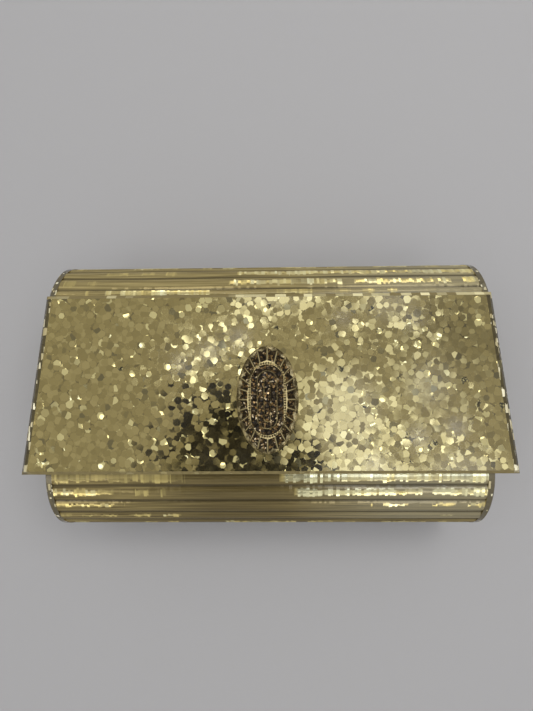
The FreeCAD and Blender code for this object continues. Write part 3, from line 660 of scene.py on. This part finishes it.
def growCrown(mesh, crest, high, middle):  # the long block that the stones are set in
    rim = high.z - bossLook["crownRise"]
    steps = bossLook["crownSteps"]
    loop, edges = startRing(mesh, steps)
    for number, (climb, wear) in enumerate(bossLook["crownLevels"]):
        if number:
            loop, edges = nextRing(mesh, loop, edges)
        reach = crownReach + (tableReach - crownReach) * climb
        for place, vert in enumerate(loop):
            spot, _ = onTrack(place / steps, reach)
            vert.co = middle + spot
            vert.co.z = rim + bossLook["crownRise"] * min(climb, 1.0)
            vert[crest] = wear
    bmesh.ops.holes_fill(mesh, edges=edges, sides=0)


def makeBoss(material):
    low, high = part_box("emblem_boss")
    middle = (low + high) / 2
    mesh = bmesh.new()
    crest = mesh.verts.layers.float.new("crest")
    growSkirt(mesh, crest, low, high, middle)
    growCrown(mesh, crest, high, middle)
    boss = newPiece("boss", mesh, material)
    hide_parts("emblem_boss")


def stonePlaces(high, middle):  # a row and a ring on the table, and a ring on the slope
    up = Vector((0.0, 0.0, 1.0))
    pitch = stoneLook["pitch"]
    table = Vector((middle.x, middle.y, high.z))
    places = []
    for step in range(stoneLook["rowStones"]):
        places.append((table + Vector((0.0, step * pitch - bossLook["halfRow"], 0.0)), up))
    halfway = (tableReach + crownReach) / 2
    lean = math.atan2(bossLook["crownRise"], bossLook["crownSlope"])
    for reach, drop, tip in ((pitch, 0.0, 0.0), (halfway, bossLook["crownRise"] / 2, lean)):
        count = int(trackLength(reach) / pitch)
        for step in range(count):
            spot, out = onTrack(step / count, reach)
            places.append((table + spot - up * drop, out * math.sin(tip) + up * math.cos(tip)))
    return places


def makeStones(material):
    low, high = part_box("emblem_boss")
    mesh = bmesh.new()
    tall = stoneLook["rise"] + stoneLook["sunk"]
    for number, (foot, normal) in enumerate(stonePlaces(high, (low + high) / 2)):
        stand = Matrix.Translation(foot) @ normal.to_track_quat("Z", "Y").to_matrix().to_4x4()
        spin = Matrix.Rotation(stoneLook["turn"] * number, 4, "Z")
        spin = spin @ Matrix.Translation((0.0, 0.0, tall / 2 - stoneLook["sunk"]))
        bmesh.ops.create_cone(mesh, cap_ends=True, segments=stoneLook["sides"], radius1=stoneLook["girdle"],
                              radius2=stoneLook["table"], depth=tall, matrix=stand @ spin)
    stones = newPiece("stones", mesh, material, smooth=False)
    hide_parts("emblem_stones")


def makeBeads(name, spots, radius, material):
    mesh = bmesh.new()
    for spot in spots:
        bmesh.ops.create_uvsphere(mesh, u_segments=beadLook["around"], v_segments=beadLook["rings"],
                                  radius=radius, matrix=Matrix.Translation(spot))
    newPiece(name, mesh, material)


def trackBeads(name, line, level, look, material):  # a row along a round-ended outline
    low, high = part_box("emblem_boss")
    middle = (low + high) / 2
    outside, radius = look
    reach = line + outside
    count = int(trackLength(reach) / (2 * radius * beadLook["step"]))
    lift = Vector((middle.x, middle.y, level))
    spots = [lift + onTrack(step / count, reach)[0] for step in range(count)]
    makeBeads(name, spots, radius, material)


def collarBeads(look, material):  # a row along the oval plate's edge
    low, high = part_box("emblem_collar")
    middle = (low + high) / 2
    outside, above, radius = look
    lift = Vector((middle.x, middle.y, high.z + radius * above))
    halfWidth = (high.x - low.x) / 2 + radius * outside
    halfLength = (high.y - low.y) / 2 + radius * outside
    shorter = math.sqrt((3 * halfWidth + halfLength) * (halfWidth + 3 * halfLength))
    around = math.pi * (3 * (halfWidth + halfLength) - shorter)  # close to the length round an oval
    turns = evenTurns(halfWidth, halfLength, int(around / (2 * radius * beadLook["step"])))
    spots = [lift + onOval(turn, halfWidth, halfLength) for turn in turns]
    makeBeads("collarBeads", spots, radius, material)


brassLook = {
    "patina": (0.12, 0.092, 0.042, 1.0),
    "rubbed": (0.70, 0.575, 0.29, 1.0),
    "roughness": (0.26, 0.48),
    "metal": 0.8,
    "grain": 900.0,
    "studs": (0.72, 8.0),  # up to which crest the small stones reach, and how crisply they end there
    "worn": (0.86, 9.0, 0.12),  # from which crest the brass is rubbed, how crisply and how unevenly
    "beadGrain": 320.0,
    "beadWorn": (0.45, 5.0),
}


def facets(shader):  # small cut faces that each throw the light another way, in random tones whose palest are painted glints
    size = stoneLook["facet"]
    cell = shader.node("ShaderNodeTexVoronoi", {}, {"Vector": shader.place(), "Scale": 1.0 / size})
    luck, _, _ = shader.parted(cell["Color"])
    normal = shader.node("ShaderNodeNewGeometry")["Normal"]
    lean = shader.scaled(shader.swing(cell["Color"]), stoneLook["tilt"])
    leaning = shader.vector("NORMALIZE", shader.vector("ADD", normal, lean))
    return shader.ramp(stoneLook["tones"], luck), normal, leaning


def wornBrass():  # rubbed bright along the ribs and edges, with small stones between them that carry painted glints
    material, shader = newMaterial("wornBrass")
    crest = shader.node("ShaderNodeAttribute", {"attribute_name": "crest"})["Fac"]
    grain = shader.noise(shader.place(), brassLook["grain"], detail=4.0)["Fac"]
    glint, normal, leaning = facets(shader)
    last, crisp = brassLook["studs"]
    studded = ((last - crest) * crisp).held()
    first, crisp, uneven = brassLook["worn"]
    worn = ((crest + (grain - 0.5) * uneven - first) * crisp).held()
    colour = shader.mixColour(studded, brassLook["patina"], glint)
    colour = shader.mixColour(worn, colour, brassLook["rubbed"])
    low, high = brassLook["roughness"]
    finishMaterial(shader, {
        "Base Color": colour, "Metallic": brassLook["metal"], "Roughness": grain * (high - low) + low,
        "Normal": shader.mixVector(studded, normal, leaning),
    })
    return material


def beadBrass():
    material, shader = newMaterial("beadBrass")
    grain = shader.noise(shader.place(), brassLook["beadGrain"], detail=3.0)["Fac"]
    first, crisp = brassLook["beadWorn"]
    worn = ((grain - first) * crisp).held()
    low, high = brassLook["roughness"]
    finishMaterial(shader, {
        "Base Color": shader.mixColour(worn, brassLook["patina"], brassLook["rubbed"]),
        "Metallic": 1.0, "Roughness": grain * (high - low) + low,
    })
    return material


def smokyStone():
    material, shader = newMaterial("smokyStone")
    glint, _, leaning = facets(shader)
    finishMaterial(shader, {"Base Color": glint, "Normal": leaning, **stoneLook["finish"]})
    return material


brass = beadBrass()
makeBoss(wornBrass())
makeStones(smokyStone())
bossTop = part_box("emblem_boss")[1].z
trackBeads("rimBeads", crownReach, bossTop - bossLook["crownRise"], beadLook["rim"], brass)
trackBeads("tableBeads", tableReach, bossTop, beadLook["table"], brass)
trackBeads("rowBeads", stoneLook["pitch"] / 2, bossTop, beadLook["row"], brass)
collarBeads(beadLook["collar"], brass)
dressNodes(brass, ["emblem_collar"])
print("ornament done")

# hinges, rivets, magnets and screws: plain metals with a fine brushed grain
metalLook = {  # colour, and the range of the roughness
    "hingeBrass": ((0.62, 0.47, 0.20, 1.0), (0.20, 0.34)),
    "magnetNickel": ((0.62, 0.61, 0.58, 1.0), (0.12, 0.22)),
    "screwSteel": ((0.48, 0.47, 0.45, 1.0), (0.28, 0.42)),
    "brushed": (0.08, 2500.0),  # how far the grain is drawn out along x, and how often it changes
    "shaded": 0.8,
}


def plainMetal(name):
    colour, (low, high) = metalLook[name]
    material, shader = newMaterial(name)
    x, y, z = shader.parted(shader.place())
    drawn, often = metalLook["brushed"]
    brushed = shader.noise(shader.joined(x * drawn, y, z), often, detail=3.0)["Fac"]
    shaded = tuple(metalLook["shaded"] * part for part in colour[:3]) + (1.0,)
    finishMaterial(shader, {
        "Base Color": shader.mixColour(brushed, shaded, colour),
        "Metallic": 1.0, "Roughness": brushed * (high - low) + low,
    })
    return material


dressNodes(plainMetal("hingeBrass"), [name for name in nodes if "hinge" in name])
dressNodes(plainMetal("magnetNickel"), ["body_magnets", "flap_magnets"])
dressNodes(plainMetal("screwSteel"), ["emblem_screws"])
print("metals done")

# stage: pale floor, soft light from above and a camera that looks almost straight down
stageLook = {
    "floorReach": 3.0,
    "floor": (0.410, 0.402, 0.400, 1.0),
    "floorRoughness": 0.8,
    "zenith": 0.665,
    "horizon": 0.40,
    "rise": 1.6,  # how soon above the horizon the sky is as light as at the zenith
    "lowest": 0.05,  # height below which the sky's pattern isn't spread any further
    # dark screens: middle, reach, share of the light held back and crispness of the edge
    "screens": [
        ((-0.085, -0.31), (0.19, 0.31), 0.93, 9.0),
        ((0.38, 0.11), (0.18, 0.15), 0.36, 1.0),
    ],
    "holes": (10.0, 0.39, 60.0),  # in the screens: how often, how wide open and how crisp
    "softness": 2.5,  # of the patches' edges
    "tint": (0.87, 1.0, 1.42),  # of the patches
    # soft patches of the ceiling: middle and reach in x and y for each unit up, and added light
    "patches": [
        ((0.00, 0.27), (0.12, 0.09), 1.7),
        ((-0.20, 0.065), (0.02, 0.02), 5.0),
        ((-0.14, 0.090), (0.02, 0.02), 5.5),
        ((-0.08, 0.120), (0.02, 0.02), 5.5),
        ((0.14, -0.04), (0.08, 0.10), 1.4),
        ((0.18, -0.21), (0.13, 0.08), 1.65),
        ((0.32, 0.02), (0.05, 0.05), 1.3),
        ((0.38, -0.18), (0.08, 0.06), 1.65),
        ((0.24, 0.20), (0.05, 0.05), 1.5),
        ((0.20, -0.14), (0.018, 0.018), 4.0),
        ((0.29, -0.09), (0.018, 0.018), 4.5),
        ((0.37, -0.07), (0.018, 0.018), 4.5),
        ((0.14, 0.16), (0.016, 0.016), 4.5),
        ((0.29, 0.155), (0.016, 0.016), 4.5),
    ],
    "lampTint": (1.0, 0.98, 0.94),
    "lamps": [  # low in the sky, so only loose flakes flash them back
        ((0.72, 0.20), (0.17, 0.17), 2.2),
        ((0.62, -0.36), (0.17, 0.17), 2.2),
        ((0.30, -0.62), (0.17, 0.17), 2.2),
        ((0.28, 0.56), (0.17, 0.17), 2.2),
        ((-0.20, 0.62), (0.15, 0.15), 2.2),
        ((-0.62, 0.36), (0.15, 0.15), 2.2),
        ((-0.74, -0.10), (0.15, 0.15), 2.2),
        ((-0.52, -0.56), (0.15, 0.15), 2.2),
    ],
}


def makeFloor():
    bpy.ops.mesh.primitive_plane_add(size=2 * stageLook["floorReach"])
    floor = bpy.context.object
    floor.name = "floor"
    material, shader = newMaterial("floorPaper")
    finishMaterial(shader, {"Base Color": stageLook["floor"], "Roughness": stageLook["floorRoughness"]})
    floor.data.materials.append(material)


def nearPatch(x, y, middle, reach, crisp):  # 1 inside an oval patch of the sky, 0 outside it
    awayX = (x - middle[0]) / reach[0]
    awayY = (y - middle[1]) / reach[1]
    return (crisp - crisp * (awayX * awayX + awayY * awayY)).held()


def makeWorld():
    world = bpy.data.worlds.new("studio")
    bpy.context.scene.world = world
    world.use_nodes = True
    shader = Shader(world.node_tree)
    x, y, z = shader.parted(shader.node("ShaderNodeTexCoord")["Generated"])
    up = z.most(stageLook["lowest"])
    across = x / up
    along = y / up
    low, high = stageLook["horizon"], stageLook["zenith"]
    level = (z * stageLook["rise"]).held() * (high - low) + low
    light = [level, level, level]
    for patches, tint in (("patches", "tint"), ("lamps", "lampTint")):
        more = 0.0
        for middle, reach, added in stageLook[patches]:
            more = nearPatch(across, along, middle, reach, stageLook["softness"]) * added + more
        light = [part + more * share for part, share in zip(light, stageLook[tint])]
    often, gap, crisp = stageLook["holes"]
    holes = shader.noise(shader.joined(across, along), often, detail=1.0, dimensions="2D")["Fac"]
    solid = ((holes - gap) * crisp).held()
    clear = 1.0
    for middle, reach, held, crisp in stageLook["screens"]:
        clear = (1.0 - nearPatch(across, along, middle, reach, crisp) * solid * held) * clear
    glow = shader.joined(*[part * clear for part in light])
    sky = shader.node("ShaderNodeBackground", {}, {"Color": glow})
    shader.node("ShaderNodeOutputWorld", {}, {"Surface": sky["Background"]})


keyLook = {"place": (0.30, 0.40, 0.90), "aim": (0.0, 0.0, 0.0), "size": (0.40, 0.40), "power": 2.2}


def makeKeyBox():  # one soft lamp, for the shadow; the flakes don't show it
    lamp = bpy.data.lights.new("keyBox", "AREA")
    lamp.shape = "RECTANGLE"
    lamp.size, lamp.size_y = keyLook["size"]
    lamp.energy = keyLook["power"]
    keyBox = bpy.data.objects.new("keyBox", lamp)
    bpy.context.scene.collection.objects.link(keyBox)
    way = Vector(keyLook["aim"]) - Vector(keyLook["place"])
    keyBox.location = keyLook["place"]
    keyBox.rotation_euler = way.to_track_quat("-Z", "Y").to_euler()
    keyBox.visible_glossy = False


cameraLook = {
    "place": (0.00384, -0.00095, 0.27285),
    "tilt": 4.68, "pan": 1.15, "roll": -0.45,
    "focusPixels": 477.2, "imageWidth": 533, "sensor": 36.0,
    "nearest": 0.01,
}


def makeCamera():
    lens = bpy.data.cameras.new("camera")
    lens.sensor_fit = "HORIZONTAL"
    lens.sensor_width = cameraLook["sensor"]
    lens.lens = cameraLook["focusPixels"] * cameraLook["sensor"] / cameraLook["imageWidth"]
    lens.clip_start = cameraLook["nearest"]
    camera = bpy.data.objects.new("camera", lens)
    bpy.context.scene.collection.objects.link(camera)
    turns = [("tilt", "X"), ("pan", "Y"), ("roll", "Z")]
    aim = Matrix.Identity(3)
    for name, axis in turns:
        aim = aim @ Matrix.Rotation(math.radians(cameraLook[name]), 3, axis)
    camera.location = cameraLook["place"]
    camera.rotation_euler = aim.to_euler()
    bpy.context.scene.camera = camera


makeFloor()
makeWorld()
makeKeyBox()
makeCamera()
bpy.context.scene.view_settings.view_transform = "Standard"
print("stage done")
